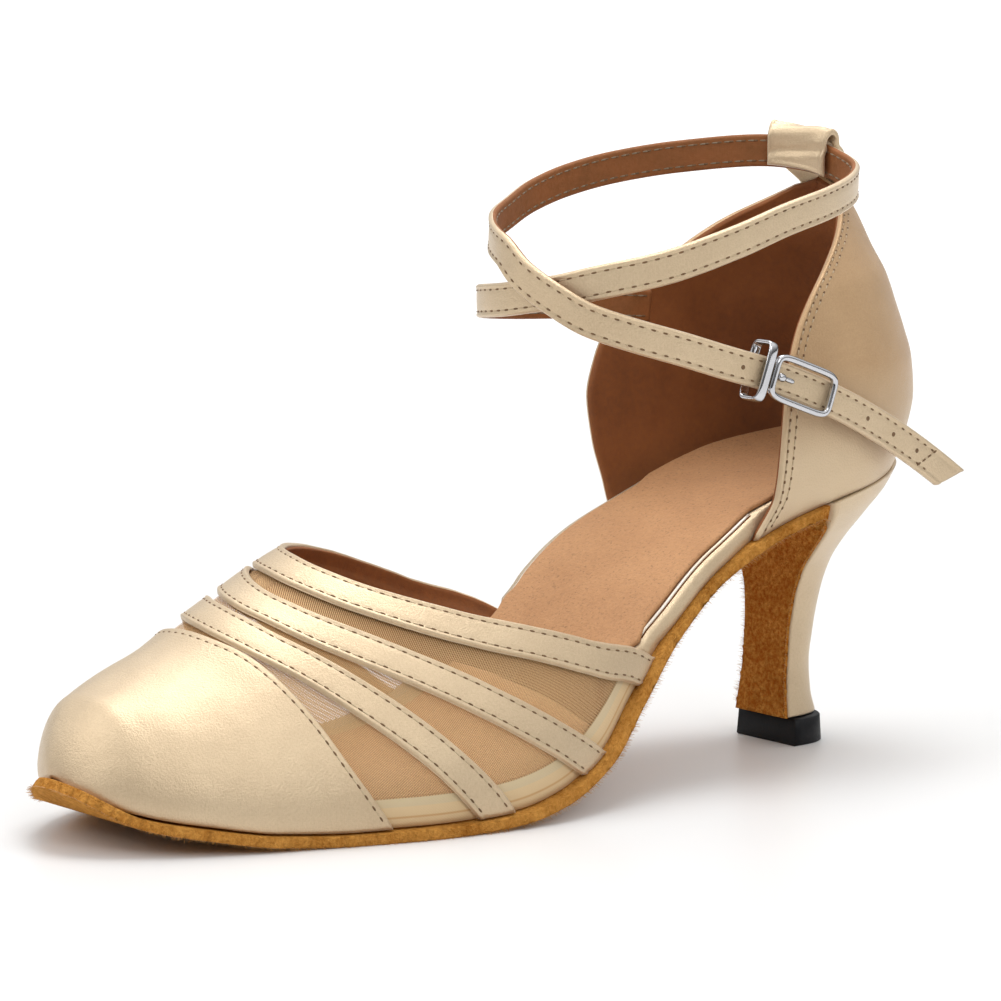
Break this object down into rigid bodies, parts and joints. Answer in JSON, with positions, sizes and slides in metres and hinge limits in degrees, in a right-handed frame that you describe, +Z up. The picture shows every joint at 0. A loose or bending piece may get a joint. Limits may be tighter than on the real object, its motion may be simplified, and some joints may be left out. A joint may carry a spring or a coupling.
{
  "type": "dance shoe",
  "caption": "Closed-toe, open-waist dance shoe with a flared heel, a strapped net vamp and a buckled ankle strap that wraps round twice.",
  "frame": {"origin": "middle of the heel tip's bottom face, on the floor", "axes": "-Y towards the toe, +X towards the outer side of the left foot, +Z up"},
  "size_m": [0.0791, 0.2229, 0.1363],
  "materials": {
    "champagne_satin": "champagne gold satin cloth with a soft sheen",
    "tan_net": "fine tan see-through net",
    "tan_insole_leather": "matt tan leather with a short nap",
    "brown_suede": "rough orange-brown suede",
    "black_rubber": "smooth black rubber",
    "chrome": "polished plated metal"
  },
  "bodies": {
    "root": {"outsole": "brown_suede", "insole_board": "champagne_satin", "insock": "tan_insole_leather", "vamp_net": "tan_net", "toe_cap": "champagne_satin", "vamp_strap_front": "champagne_satin", "vamp_strap_middle": "champagne_satin", "vamp_strap_collar": "champagne_satin", "counter": "champagne_satin", "heel": "champagne_satin", "heel_tip": "black_rubber", "ankle_strap": "champagne_satin", "back_tab": "champagne_satin", "buckle_strap": "champagne_satin", "buckle_frame": "chrome", "buckle_keeper": "chrome", "buckle_prong": "chrome"}
  },
  "joints": []
}
